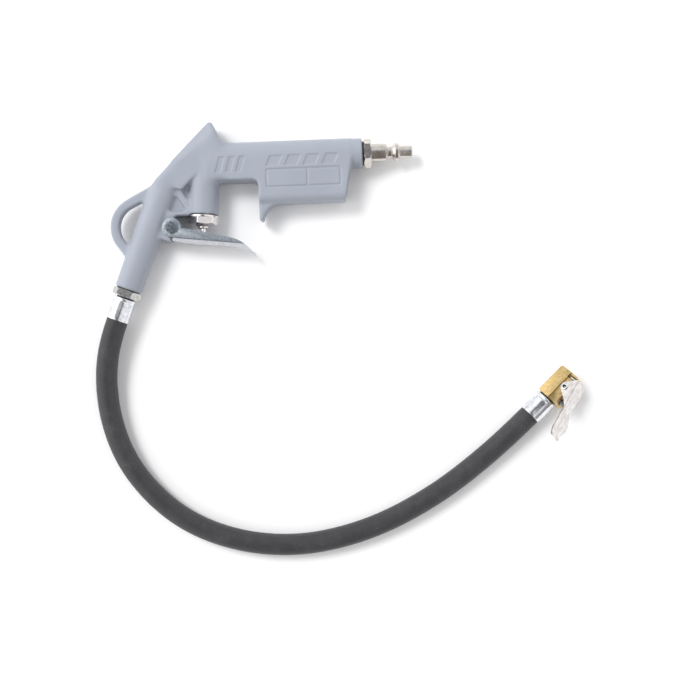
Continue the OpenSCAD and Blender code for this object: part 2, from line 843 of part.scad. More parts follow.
body_casting();
inlet_plug();
inlet_seal();
valve_cap();
cap_seal();
valve_stem();
stem_seal();
valve_seat();
valve_disc();
valve_spring();
trigger();
trigger_pin();
outlet_seal();
outlet_nipple();
gun_ferrule();
hose();
chuck_ferrule();
chuck_nipple();
chuck_body();
chuck_seal();
chuck_pin();
chuck_lever();
chuck_rivet();
chuck_spring();
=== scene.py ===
"""Looks of a tyre inflator gun: a painted cast gun, its air plug, its hose and a clip-on chuck.

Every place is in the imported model's frame. Points named layout are millimetres in the drawing's own
layout, where +X runs along the air inlet, and place() turns them into metres of the frame.
"""

import json
import math

import bmesh
import bpy
import numpy as np
import openvdb
from mathutils import Matrix, Vector
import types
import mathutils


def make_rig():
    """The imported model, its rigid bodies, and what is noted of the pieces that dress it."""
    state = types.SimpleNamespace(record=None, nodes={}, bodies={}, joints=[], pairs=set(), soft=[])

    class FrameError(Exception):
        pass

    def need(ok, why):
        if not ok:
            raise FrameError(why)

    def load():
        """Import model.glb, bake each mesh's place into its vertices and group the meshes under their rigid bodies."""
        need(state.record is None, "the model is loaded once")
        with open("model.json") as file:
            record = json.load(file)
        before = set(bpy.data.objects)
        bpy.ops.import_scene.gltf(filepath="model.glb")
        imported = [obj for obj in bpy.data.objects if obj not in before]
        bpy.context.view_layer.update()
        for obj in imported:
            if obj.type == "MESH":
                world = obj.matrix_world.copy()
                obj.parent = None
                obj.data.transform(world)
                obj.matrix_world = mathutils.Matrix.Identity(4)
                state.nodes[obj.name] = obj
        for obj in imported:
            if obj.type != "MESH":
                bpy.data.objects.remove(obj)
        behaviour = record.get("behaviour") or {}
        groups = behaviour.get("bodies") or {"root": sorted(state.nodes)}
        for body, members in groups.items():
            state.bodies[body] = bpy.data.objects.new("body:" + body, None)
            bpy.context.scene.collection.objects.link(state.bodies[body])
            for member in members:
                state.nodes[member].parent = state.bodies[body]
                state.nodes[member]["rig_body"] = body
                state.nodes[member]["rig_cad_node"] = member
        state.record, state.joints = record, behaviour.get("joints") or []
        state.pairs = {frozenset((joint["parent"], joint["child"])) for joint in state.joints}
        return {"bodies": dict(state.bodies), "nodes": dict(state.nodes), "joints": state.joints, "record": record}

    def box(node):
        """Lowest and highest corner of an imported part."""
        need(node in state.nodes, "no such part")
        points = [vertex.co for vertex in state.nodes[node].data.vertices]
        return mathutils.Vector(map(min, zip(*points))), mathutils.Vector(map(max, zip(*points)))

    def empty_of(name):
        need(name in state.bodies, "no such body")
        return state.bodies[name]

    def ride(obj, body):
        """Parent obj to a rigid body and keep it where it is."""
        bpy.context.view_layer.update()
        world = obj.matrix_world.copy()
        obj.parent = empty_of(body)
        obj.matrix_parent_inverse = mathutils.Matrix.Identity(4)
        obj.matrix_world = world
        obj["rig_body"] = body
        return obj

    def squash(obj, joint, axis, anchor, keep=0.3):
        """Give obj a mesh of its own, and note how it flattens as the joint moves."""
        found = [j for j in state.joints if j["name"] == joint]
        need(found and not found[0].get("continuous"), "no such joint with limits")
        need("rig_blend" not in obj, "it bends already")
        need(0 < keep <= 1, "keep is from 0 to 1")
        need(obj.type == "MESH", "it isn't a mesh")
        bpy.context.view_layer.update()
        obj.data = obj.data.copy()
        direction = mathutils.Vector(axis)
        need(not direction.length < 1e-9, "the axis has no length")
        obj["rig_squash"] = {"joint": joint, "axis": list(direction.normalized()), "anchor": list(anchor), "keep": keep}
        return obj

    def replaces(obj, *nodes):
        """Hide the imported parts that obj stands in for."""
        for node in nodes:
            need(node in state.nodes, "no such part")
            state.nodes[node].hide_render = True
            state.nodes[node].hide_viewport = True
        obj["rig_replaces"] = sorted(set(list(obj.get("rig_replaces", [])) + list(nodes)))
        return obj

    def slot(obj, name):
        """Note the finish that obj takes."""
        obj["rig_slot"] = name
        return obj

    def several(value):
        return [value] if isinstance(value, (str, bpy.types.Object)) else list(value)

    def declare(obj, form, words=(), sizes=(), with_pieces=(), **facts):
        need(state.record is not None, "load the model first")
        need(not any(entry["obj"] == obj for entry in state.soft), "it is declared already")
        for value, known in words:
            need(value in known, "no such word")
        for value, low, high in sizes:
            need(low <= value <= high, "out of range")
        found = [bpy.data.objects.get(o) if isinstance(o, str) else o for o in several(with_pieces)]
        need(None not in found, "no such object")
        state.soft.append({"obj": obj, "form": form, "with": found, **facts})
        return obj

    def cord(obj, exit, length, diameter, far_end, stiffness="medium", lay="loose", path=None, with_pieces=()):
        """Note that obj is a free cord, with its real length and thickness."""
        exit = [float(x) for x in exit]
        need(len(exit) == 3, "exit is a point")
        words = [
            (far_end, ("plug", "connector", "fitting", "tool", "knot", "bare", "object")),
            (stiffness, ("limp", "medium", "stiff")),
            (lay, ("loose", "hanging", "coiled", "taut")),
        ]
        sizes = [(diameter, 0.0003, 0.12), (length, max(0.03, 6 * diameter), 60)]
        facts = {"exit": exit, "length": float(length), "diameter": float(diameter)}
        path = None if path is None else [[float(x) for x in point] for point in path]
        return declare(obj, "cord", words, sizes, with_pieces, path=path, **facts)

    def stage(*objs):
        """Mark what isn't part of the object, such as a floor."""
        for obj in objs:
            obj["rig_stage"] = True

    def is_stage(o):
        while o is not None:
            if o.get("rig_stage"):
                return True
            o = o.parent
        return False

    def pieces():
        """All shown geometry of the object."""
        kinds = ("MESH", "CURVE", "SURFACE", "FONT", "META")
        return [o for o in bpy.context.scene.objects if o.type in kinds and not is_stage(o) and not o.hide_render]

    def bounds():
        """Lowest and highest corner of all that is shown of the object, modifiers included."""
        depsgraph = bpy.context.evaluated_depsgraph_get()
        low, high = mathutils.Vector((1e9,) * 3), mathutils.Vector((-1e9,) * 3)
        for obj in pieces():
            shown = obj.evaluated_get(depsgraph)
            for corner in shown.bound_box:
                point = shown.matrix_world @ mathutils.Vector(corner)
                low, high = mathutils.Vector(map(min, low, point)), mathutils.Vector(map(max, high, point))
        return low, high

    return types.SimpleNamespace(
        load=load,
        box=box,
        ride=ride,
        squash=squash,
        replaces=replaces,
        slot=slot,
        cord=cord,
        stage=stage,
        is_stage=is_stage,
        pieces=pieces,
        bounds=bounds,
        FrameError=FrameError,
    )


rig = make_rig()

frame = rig.load()
cad_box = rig.bounds()

MM = 0.001
NODES = frame["nodes"]
JOINTS = {joint["name"]: joint for joint in frame["joints"]}
MOUNTS = {mount["name"]: mount for mount in frame["record"]["mounts"]}

# The drawing's layout: where the frame's origin lies in it, and the height of the gun's middle plane
LAYOUT_MID = (0.75, 1.25)
MID_Z = sum(corner.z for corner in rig.box("trigger")) / 2 / MM
GRIP_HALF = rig.box("body_casting")[1].z / 2 / MM


def place(x, y, z=MID_Z):
    """Point of the layout, in metres of the frame."""
    return Vector((x - LAYOUT_MID[0], y - LAYOUT_MID[1], z)) * MM


def axes(origin, along, side=Vector((0, 0, 1))):
    """Matrix in millimetres whose Z runs along a direction, and whose X is as near side as it can be."""
    z = Vector(along).normalized()
    x = (side - z * side.dot(z)).normalized()
    y = z.cross(x)
    return Matrix.Translation(origin) @ Matrix((x, y, z)).transposed().to_4x4() @ Matrix.Scale(MM, 4)


def heading(degrees):
    """Direction in the layout's plane, anticlockwise from +X."""
    return Vector((math.cos(math.radians(degrees)), math.sin(math.radians(degrees)), 0))


# Axes of the turned parts, each with its Z along the part
INLET = axes(place(0, 32.4), (1, 0, 0))
COLUMN = axes(place(-37.5, -3.8), heading(86))
OUTLET = axes(place(-88.3, -50.3), heading(248))
PIVOT = axes(JOINTS["trigger_pull"]["pos_m"], (0, 0, 1), Vector((1, 0, 0)))

# The chuck: its port's axis, the direction towards its lever, and the lever's pivot
CHUCK_ALONG = Vector(MOUNTS["tyre_valve_port"]["axis"])
CHUCK_ACROSS = Vector(JOINTS["lever_press"]["axis"])
CHUCK_OUT = CHUCK_ACROSS.cross(CHUCK_ALONG)
CHUCK_REAR = place(181.2, -130.9, 8.6)
CHUCK_TURN = Matrix((CHUCK_ALONG, CHUCK_OUT, CHUCK_ACROSS)).transposed().to_4x4()
CHUCK = Matrix.Translation(CHUCK_REAR) @ CHUCK_TURN @ Matrix.Scale(MM, 4)
CHUCK_HOSE = axes(CHUCK_REAR, -CHUCK_ALONG)
LEVER_PIVOT = (12, 7.8)


# ---- Camera, light and floor ----

# Direction towards the key light
KEY_FROM = Vector((-0.62, 0.54, 1))


def camera():
    """Long lens, looking straight down from over the middle of the view."""
    data = bpy.data.cameras.new("camera")
    data.lens = 55.4
    data.sensor_width = 36
    data.clip_start = 0.01
    item = bpy.data.objects.new("camera", data)
    item.location = place(54.2, -95.1, 711)
    item.rotation_euler = (0, 0, math.radians(-2.2))
    bpy.context.scene.collection.objects.link(item)
    bpy.context.scene.camera = item


def studio_world():
    """White panels all round but for a dark gap, which runs from the near side to straight above."""
    world = bpy.data.worlds.new("studio")
    world.use_nodes = True
    nodes, links = world.node_tree.nodes, world.node_tree.links
    coords = nodes.new("ShaderNodeTexCoord")

    def towards(direction, *stops):
        """Levels by how nearly a ray points in a direction: -1 is away from it and 1 is along it."""
        dot = nodes.new("ShaderNodeVectorMath")
        dot.operation = "DOT_PRODUCT"
        dot.inputs[1].default_value = Vector(direction).normalized()
        links.new(coords.outputs["Generated"], dot.inputs[0])
        spread = nodes.new("ShaderNodeMapRange")
        spread.inputs["From Min"].default_value = -1
        links.new(dot.outputs["Value"], spread.inputs["Value"])
        ramp = nodes.new("ShaderNodeValToRGB")
        elements = ramp.color_ramp.elements
        elements[0].position, elements[1].position = (stops[0][0] + 1) / 2, (stops[-1][0] + 1) / 2
        for position, _ in stops[1:-1]:
            elements.new((position + 1) / 2)
        for element, (_, color) in zip(elements, stops):
            element.color = (*color, 1)
        links.new(spread.outputs[0], ramp.inputs[0])
        return ramp.outputs[0]

    def mixed(kind, a, b, share=None):
        mix = nodes.new("ShaderNodeMixRGB")
        mix.blend_type = kind
        mix.inputs[0].default_value = 1
        if share:
            links.new(share, mix.inputs[0])
        links.new(a, mix.inputs[1])
        links.new(b, mix.inputs[2])
        return mix.outputs[0]

    black, white = (0, 0, 0), (1, 1, 1)
    right, overhead, left = (1.1, 1.1, 1.12), (0.78, 0.78, 0.79), (1.45, 1.45, 1.45)
    panels = towards((-1, -0.2, 0), (-1, right), (0, overhead), (1, left))
    dark = towards((0, -1, 0), (0, (0.22, 0.225, 0.25)), (0.25, (0.19, 0.165, 0.145)))
    across = towards((1, 0, 0), (-0.33, black), (-0.15, white), (0.15, white), (0.33, black))
    near = towards((0, 1, 0), (0.25, white), (0.5, black))
    room = mixed("MIX", panels, dark, mixed("MULTIPLY", across, near))
    softbox = towards((-0.75, 0.3, 0.6), (0.8, black), (0.95, (0.55, 0.55, 0.55)))
    links.new(mixed("ADD", room, softbox), nodes["Background"].inputs["Color"])
    bpy.context.scene.world = world


def key_light():
    """Large soft lamp, high on the upper left. Its glare comes from the room's softbox instead."""
    data = bpy.data.lights.new("key", "SUN")
    data.energy = 1.5
    data.angle = math.radians(21)
    item = bpy.data.objects.new("key", data)
    item.rotation_euler = (-KEY_FROM).to_track_quat("-Z", "Y").to_euler()
    item.visible_glossy = False
    bpy.context.scene.collection.objects.link(item)


def floor():
    """Plain pale paper, wide enough to fill every view."""
    half = 20
    data = bpy.data.meshes.new("floor")
    corners = [(-half, -half, 0), (half, -half, 0), (half, half, 0), (-half, half, 0)]
    data.from_pydata(corners, [], [(0, 1, 2, 3)])
    item = bpy.data.objects.new("floor", data)
    bpy.context.scene.collection.objects.link(item)
    paper = Finish("floor_paper", (0.93, 0.93, 0.93), roughness=0.8)
    paper.shader.inputs["Specular IOR Level"].default_value = 0.2
    paper.bump(paper.noise(60, 3), 0.02, 0.05)
    data.materials.append(paper.material)
    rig.stage(item)


# ---- Materials ----

class Finish:
    """Material with one main shader, and short calls that add detail to it."""

    def __init__(self, name, color, metallic=0.0, roughness=0.5):
        self.material = bpy.data.materials.new(name)
        self.material.use_nodes = True
        self.nodes = self.material.node_tree.nodes
        self.links = self.material.node_tree.links
        self.shader = self.nodes["Principled BSDF"]
        self.shader.inputs["Base Color"].default_value = (*color, 1)
        self.shader.inputs["Metallic"].default_value = metallic
        self.shader.inputs["Roughness"].default_value = roughness
        self.coords = self.nodes.new("ShaderNodeTexCoord")
        self.normal = None

    def link(self, output, target):
        self.links.new(output, target)

    def noise(self, per_metre, detail, vector=None, roughness=0.5):
        """Grey noise with about so many grains for each metre, fixed to the piece."""
        node = self.nodes.new("ShaderNodeTexNoise")
        node.inputs["Scale"].default_value = per_metre
        node.inputs["Detail"].default_value = detail
        node.inputs["Roughness"].default_value = roughness
        self.link(vector or self.coords.outputs["Object"], node.inputs["Vector"])
        return node.outputs["Fac"]

    def waves(self, scale, vector):
        """Grey bands across X."""
        node = self.nodes.new("ShaderNodeTexWave")
        node.inputs["Scale"].default_value = scale
        self.link(vector, node.inputs["Vector"])
        return node.outputs["Fac"]

    def ramp(self, value, *stops):
        """Colours or grey levels by value: each stop is (position, grey or colour)."""
        node = self.nodes.new("ShaderNodeValToRGB")
        elements = node.color_ramp.elements
        elements[0].position, elements[1].position = stops[0][0], stops[-1][0]
        for position, _ in stops[1:-1]:
            elements.new(position)
        for element, (_, level) in zip(elements, stops):
            color = level if isinstance(level, tuple) else (level, level, level)
            element.color = (*color, 1)
        self.link(value, node.inputs[0])
        return node.outputs[0]

    def math(self, operation, a, b):
        """Number from two outputs or constants."""
        node = self.nodes.new("ShaderNodeMath")
        node.operation = operation
        for socket, value in zip(node.inputs, (a, b)):
            if isinstance(value, (int, float)):
                socket.default_value = value
            else:
                self.link(value, socket)
        return node.outputs[0]

    def vector(self, operation, a, b=(0, 0, 0)):
        """Vector or number from a vector output and a constant vector."""
        node = self.nodes.new("ShaderNodeVectorMath")
        node.operation = operation
        self.link(a, node.inputs[0])
        node.inputs[1].default_value = b
        return node.outputs["Value" if operation in ("DOT_PRODUCT", "LENGTH") else "Vector"]

    def mix(self, share, a, b):
        """Colour a, and colour b in its place where the share is 1."""
        node = self.nodes.new("ShaderNodeMix")
        node.data_type = "RGBA"
        self.link(share, node.inputs[0])
        self.link(a, node.inputs[6])
        if isinstance(b, tuple):
            node.inputs[7].default_value = b
        else:
            self.link(b, node.inputs[7])
        return node.outputs[2]

    def mottled(self, spangle, dark, light):
        """Two shades in soft patches, at so many for each metre."""
        return self.ramp(self.noise(spangle, 4, roughness=0.6), (0.34, dark), (0.62, light))

    def color(self, value):
        self.link(value, self.shader.inputs["Base Color"])

    def roughness(self, value):
        self.link(value, self.shader.inputs["Roughness"])

    def bump(self, height, strength, distance_mm):
        """Adds a bump on top of the earlier ones."""
        node = self.nodes.new("ShaderNodeBump")
        node.inputs["Strength"].default_value = strength
        node.inputs["Distance"].default_value = distance_mm * MM
        self.link(height, node.inputs["Height"])
        if self.normal:
            self.link(self.normal, node.inputs["Normal"])
        self.normal = node.outputs[0]
        self.link(self.normal, self.shader.inputs["Normal"])


def paint_finish():
    """Satin blue-grey paint with a fine orange peel."""
    made = Finish("painted_casting", (0.325, 0.352, 0.404), roughness=0.42)
    made.shader.inputs["Specular IOR Level"].default_value = 0.45
    cloud = made.noise(35, 3)
    made.color(made.ramp(cloud, (0.3, (0.315, 0.341, 0.392)), (0.7, (0.335, 0.363, 0.416))))
    made.roughness(made.ramp(made.noise(220, 3), (0.3, 0.36), (0.7, 0.5)))
    made.bump(made.noise(900, 2), 0.12, 0.12)
    made.bump(made.noise(140, 2), 0.1, 0.3)
    return made.material


def nickel_finish():
    """Bright nickel plate on turned steel, a little warm."""
    made = Finish("nickel", (0.55, 0.53, 0.49), 1.0, 0.22)
    stain = made.noise(260, 4)
    made.color(made.ramp(stain, (0.3, (0.58, 0.545, 0.5)), (0.65, (0.72, 0.685, 0.64))))
    made.roughness(made.ramp(made.noise(900, 3), (0.3, 0.14), (0.7, 0.26)))
    made.bump(made.noise(2600, 2), 0.02, 0.02)
    return made.material


def chrome_finish():
    """Mirror-bright nickel of the valve's gland."""
    made = Finish("bright_nickel", (0.72, 0.69, 0.67), 1.0, 0.12)
    made.color(made.ramp(made.noise(300, 3), (0.35, (0.82, 0.77, 0.75)), (0.65, (0.9, 0.87, 0.86))))
    made.roughness(made.ramp(made.noise(800, 3), (0.3, 0.08), (0.7, 0.2)))
    return made.material


def zinc_finish(name, dark, light, spangle, gloss):
    """Zinc plate, mottled where the plate has dulled."""
    made = Finish(name, light, 1.0, gloss)
    made.color(made.mottled(spangle, dark, light))
    made.roughness(made.ramp(made.noise(spangle * 1.7, 4), (0.3, gloss - 0.03), (0.7, gloss + 0.04)))
    made.bump(made.noise(1100, 3), 0.03, 0.03)
    return made.material


def above_web(made):
    """Height above the underside of the trigger's web, which is a straight line that runs into one bend."""
    line_start, line_end = Vector((-57.3, -20.35)), Vector((-21.7, -24.55))
    bend_mid, bend_r = Vector((-24.9, -55.85)), 31.5
    upwards = (line_end - line_start).orthogonal().normalized().to_3d()
    here = made.coords.outputs["Object"]
    above_line = made.vector("DOT_PRODUCT", made.vector("SUBTRACT", here, place(*line_start, 0)), upwards)
    from_mid = made.vector("MULTIPLY", made.vector("SUBTRACT", here, place(*bend_mid, 0)), (1, 1, 0))
    inside_bend = made.math("SUBTRACT", bend_r * MM, made.vector("LENGTH", from_mid))
    return made.math("MAXIMUM", above_line, inside_bend)


def trigger_finish():
    """Zinc plate, with a painted pale highlight along the bend under the web, made half metallic there, and a painted
    dark line above it.
    """
    made = Finish("trigger_zinc", (0.7, 0.77, 0.83), 1.0, 0.24)
    reach_mm = 3.8
    height = made.math("DIVIDE", above_web(made), reach_mm * MM)
    plate = made.mottled(420, (0.58, 0.64, 0.69), (0.7, 0.77, 0.83))
    # Painted shade: a dark line just above the band, blended into the plate.
    plate = made.mix(made.ramp(height, (0.5, 1), (0.75, 0)), plate, (0.4, 0.45, 0.5, 1))
    # Painted highlight: the pale band stands in for the bright floor that the web's bend reflects.
    painted_web_highlight = made.ramp(made.noise(300, 3), (0.3, (0.68, 0.69, 0.74)), (0.7, (0.8, 0.81, 0.86)))
    made.color(made.mix(made.ramp(height, (0.42, 1), (0.52, 0)), plate, painted_web_highlight))
    made.link(made.ramp(height, (0.42, 0.5), (0.52, 1)), made.shader.inputs["Metallic"])
    made.roughness(made.ramp(made.noise(714, 4), (0.3, 0.21), (0.7, 0.28)))
    made.bump(made.noise(1100, 3), 0.03, 0.03)
    return made.material


def aluminium_finish():
    """Bright drawn aluminium with fine marks along the sleeve."""
    made = Finish("bright_aluminium", (0.86, 0.87, 0.89), 1.0, 0.2)
    streak = made.noise(420, 4)
    made.color(made.ramp(streak, (0.35, (0.66, 0.68, 0.71)), (0.58, (0.84, 0.855, 0.88))))
    made.roughness(made.ramp(made.noise(500, 4), (0.3, 0.1), (0.7, 0.22)))
    made.bump(made.noise(260, 2), 0.16, 0.12)
    return made.material


def brass_finish():
    """Machined brass with a fine grain along the block."""
    made = Finish("brass", (0.62, 0.45, 0.2), 1.0, 0.34)
    turned_block = made.nodes.new("ShaderNodeMapping")
    turned_block.inputs["Rotation"].default_value = (0, 0, math.radians(-43.3))
    turned_block.inputs["Scale"].default_value = (0.25, 1, 1)
    made.link(made.coords.outputs["Object"], turned_block.inputs["Vector"])
    grain = made.noise(900, 5, turned_block.outputs[0], 0.7)
    made.color(made.ramp(grain, (0.34, (0.5, 0.35, 0.13)), (0.62, (0.7, 0.53, 0.26))))
    made.roughness(made.ramp(made.noise(700, 3), (0.3, 0.26), (0.7, 0.44)))
    made.bump(grain, 0.12, 0.05)
    return made.material


def hose_finish():
    """Black rubber with the fine impression of the cloth it was wrapped in, and some dust."""
    made = Finish("hose_rubber", (0.045, 0.045, 0.048), roughness=0.45)
    made.shader.inputs["Specular IOR Level"].default_value = 0.4
    lengths = made.nodes.new("ShaderNodeUVMap")
    lengths.uv_map = "wrap"
    heights = []
    for turn in (45, -45):
        turned_map = made.nodes.new("ShaderNodeMapping")
        turned_map.inputs["Rotation"].default_value = (0, 0, math.radians(turn))
        made.link(lengths.outputs[0], turned_map.inputs["Vector"])
        heights.append(made.waves(0.27, turned_map.outputs[0]))
    cloth = made.math("MAXIMUM", *heights)
    dust = made.noise(90, 5, roughness=0.7)
    rub = made.noise(1400, 4, roughness=0.7)
    specks = made.math("MULTIPLY", dust, rub)
    clean, dull, dusty = (0.034, 0.034, 0.038), (0.048, 0.048, 0.053), (0.11, 0.11, 0.116)
    made.color(made.ramp(specks, (0.2, clean), (0.33, dull), (0.47, dusty)))
    made.roughness(made.ramp(dust, (0.35, 0.38), (0.65, 0.56)))
    made.bump(cloth, 0.3, 0.1)
    made.bump(made.noise(700, 3), 0.2, 0.1)
    return made.material


def rubber_finish():
    """Black rubber of the seals."""
    made = Finish("seal_rubber", (0.025, 0.025, 0.027), roughness=0.45)
    made.color(made.ramp(made.noise(500, 3), (0.3, 0.018), (0.7, 0.035)))
    made.bump(made.noise(1800, 2), 0.1, 0.05)
    return made.material


def nylon_finish():
    """Off-white nylon of the valve's seat."""
    made = Finish("nylon", (0.74, 0.72, 0.66), roughness=0.4)
    made.shader.inputs["Subsurface Weight"].default_value = 0.1
    made.shader.inputs["Subsurface Scale"].default_value = 1 * MM
    made.color(made.ramp(made.noise(300, 3), (0.3, (0.7, 0.68, 0.62)), (0.7, (0.77, 0.75, 0.7))))
    return made.material


def spring_finish():
    """Grey drawn spring wire."""
    made = Finish("spring_steel", (0.4, 0.4, 0.4), 1.0, 0.3)
    made.color(made.ramp(made.noise(900, 3), (0.3, 0.32), (0.7, 0.46)))
    made.bump(made.noise(2200, 2), 0.1, 0.03)
    return made.material


PAINT = paint_finish()
NICKEL = nickel_finish()
CHROME = chrome_finish()
TRIGGER_ZINC = trigger_finish()
DULL_ZINC = zinc_finish("dull_zinc", (0.13, 0.155, 0.18), (0.36, 0.41, 0.46), 620, 0.3)
# Near black: painted shade on the outlet tail and in the rivet's hole; also the chuck's nipple.
NEAR_BLACK = zinc_finish("near_black_steel", (0.03, 0.03, 0.035), (0.07, 0.07, 0.075), 600, 0.4)
NUT_ZINC = zinc_finish("zinc_nut", (0.38, 0.37, 0.33), (0.62, 0.63, 0.62), 900, 0.1)
PRESSED = zinc_finish("pressed_steel", (0.58, 0.545, 0.53), (0.8, 0.775, 0.76), 300, 0.35)
ALUMINIUM = aluminium_finish()
BRASS = brass_finish()
HOSE = hose_finish()
RUBBER = rubber_finish()
NYLON = nylon_finish()
SPRING = spring_finish()


# ---- Making pieces ----

def piece(name, points, faces, material, matrix, sharp=30):
    """Mesh object from points, welded where they meet, with edges sharper than an angle kept crisp."""
    data = bpy.data.meshes.new(name)
    data.from_pydata([matrix @ Vector(point) for point in points], [], faces)
    mesh = bmesh.new()
    mesh.from_mesh(data)
    bmesh.ops.remove_doubles(mesh, verts=mesh.verts, dist=0.002 * MM)
    bmesh.ops.recalc_face_normals(mesh, faces=mesh.faces)
    mesh.to_mesh(data)
    mesh.free()
    return object_of(name, data, material, sharp)


def object_of(name, data, material, sharp):
    """Object of a mesh, with one material, smooth but for its sharp edges."""
    data.materials.clear()
    data.materials.append(material)
    data.shade_smooth()
    if sharp:
        data.set_sharp_from_angle(angle=math.radians(sharp))
    item = bpy.data.objects.new(name, data)
    bpy.context.scene.collection.objects.link(item)
    return item


def settle(item, slot, body, *nodes):
    """A finished piece rides on its body, takes its slot and stands for its CAD nodes."""
    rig.ride(item, body)
    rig.slot(item, slot)
    if nodes:
        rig.replaces(item, *nodes)
    return item


def joined(name, *items):
    """One piece made of several closed meshes."""
    mesh = bmesh.new()
    for item in items:
        mesh.from_mesh(item.data)
    data = items[0].data
    mesh.to_mesh(data)
    mesh.free()
    items[0].name = name
    for item in items[1:]:
        bpy.data.objects.remove(item)
    return items[0]


def eased(outline, size):
    """Closed outline of (height, radius) points, with its corners rounded away from radius formulas."""
    steps = 3
    out = []
    count = len(outline)
    for i, point in enumerate(outline):
        before, after = outline[i - 1], outline[(i + 1) % count]
        if any(callable(p[1]) for p in (before, point, after)):
            out.append(point)
            continue
        p, a, b = Vector(point), Vector(before) - Vector(point), Vector(after) - Vector(point)
        if a.length < 1e-6 or b.length < 1e-6 or p.y == 0:
            out.append(point)
            continue
        start = p + a.normalized() * min(size, a.length * 0.45)
        end = p + b.normalized() * min(size, b.length * 0.45)
        for step in range(steps + 1):
            t = step / steps
            out.append(tuple(start * (1 - t) ** 2 + p * (2 * t * (1 - t)) + end * t ** 2))
    return out


def turned(name, outline, matrix, material, sides=96, ease=0.15, sharp=30):
    """Turned piece from a closed outline of (height, radius); a radius may be a formula of the angle."""
    outline = eased(outline, ease) if ease else outline
    points, faces = [], []
    for height, radius in outline:
        for k in range(sides):
            angle = math.tau * k / sides
            r = radius(angle) if callable(radius) else radius
            points.append((r * math.cos(angle), r * math.sin(angle), height))
    count = len(outline)
    for i in range(count):
        for k in range(sides):
            n = (k + 1) % sides
            j = (i + 1) % count
            faces.append((i * sides + k, i * sides + n, j * sides + n, j * sides + k))
    return piece(name, points, faces, material, matrix, sharp)


def flats(across, limit, count=6, turn=0.0):
    """Radius of a prism with a flat at angle turn, kept within a limit as by a turned chamfer."""
    step = math.tau / count

    def radius(angle):
        offset = (angle - turn + step / 2) % step - step / 2
        return min(across / 2 / math.cos(offset), limit)

    return radius


def nut(name, across, low, high, bore, matrix, material, flat_above, turn=0.0):
    """Hexagon with turned chamfers on its ends, or with its upper end left flat."""
    tall = across / 2 * (1 / math.cos(math.pi / 6) - 1)
    rise = math.tan(math.radians(32))
    rows = [0, 0.04, 0.1, 0.18, 0.3, 0.45, 0.65, 0.85, 1.0]

    def cone(part):
        return across / 2 + tall * (part * 1.06 - 0.06)

    rows_up = [(low + part * tall * rise, cone(part)) for part in rows]
    rows_down = [(high - part * tall * rise, across if flat_above else cone(part)) for part in rows[::-1]]
    outline = [(height, flats(across, limit, turn=turn)) for height, limit in rows_up + rows_down]
    outline += [(high, bore), (low, bore)]
    return turned(name, outline, matrix, material, ease=0, sharp=22)


# ---- Hose: straight out of the gun's sleeve, down to the floor and round to the chuck ----

HOSE_R = 6.9
HOSE_BORE_R = 4.2
HOSE_ROUTE = [
    (-91, -57, 10.1), (-96.7, -71, 10.1), (-102, -86, 9.5), (-105, -102, 8.4),
    (-105.3, -118, 7.3), (-103.3, -134, 6.9), (-98.8, -150, 6.9), (-92, -164.8, 6.9),
    (-82.5, -178.4, 6.9), (-71.3, -190.5, 6.9), (-58.8, -200.5, 6.9), (-44.8, -208.4, 6.9),
    (-30, -214.2, 6.9), (-14.5, -218.2, 6.9), (1, -220.3, 6.9), (16.5, -220.7, 6.9),
    (31.5, -219.3, 6.9), (46, -216.5, 6.9), (60, -212.7, 6.9), (73, -208, 6.9),
    (85.5, -202.5, 6.9), (97.3, -196.3, 6.9), (109, -189.7, 6.9), (120.2, -182.3, 6.9),
    (131, -174.5, 6.9), (142, -166, 7), (153, -156.8, 7.5), (163.8, -147.1, 8.2),
    (170.2, -141.3, 8.6), (179.4, -132.6, 8.6),
]


def smooth_route(route, step):
    """Even points along one smooth line through the route, as a bent hose lies."""
    knots = np.array(route, float)
    lengths = np.concatenate([[0], np.cumsum(np.linalg.norm(np.diff(knots, axis=0), axis=1))])
    slopes = np.gradient(knots, lengths, axis=0)
    fine = np.linspace(0, lengths[-1], max(2, int(lengths[-1] / step)))
    i = np.clip(np.searchsorted(lengths, fine) - 1, 0, len(knots) - 2)
    span = (lengths[i + 1] - lengths[i])[:, None]
    t = ((fine - lengths[i]) / span[:, 0])[:, None]
    a = knots[i] * (1 + 2 * t) * (1 - t) ** 2 + slopes[i] * span * t * (1 - t) ** 2
    b = knots[i + 1] * t ** 2 * (3 - 2 * t) + slopes[i + 1] * span * t ** 2 * (t - 1)
    return a + b


def hose_line(step):
    """Middle line of the hose, eased as its stiffness would."""
    path = smooth_route(HOSE_ROUTE, step)
    for _ in range(40):
        path[1:-1] += 0.25 * (path[2:] + path[:-2] - 2 * path[1:-1])
    return path


def tube_rings(path, radius, sides):
    """Points on level rings round a line."""
    along = np.gradient(path, axis=0)
    along /= np.linalg.norm(along, axis=1)[:, None]
    side = np.cross(along, [0, 0, 1])
    side /= np.linalg.norm(side, axis=1)[:, None]
    up = np.cross(side, along)
    angles = np.linspace(0, math.tau, sides, endpoint=False)[None, :, None]
    rings = path[:, None] + radius * (np.cos(angles) * side[:, None] + np.sin(angles) * up[:, None])
    return [place(*point) for point in rings.reshape(-1, 3)]


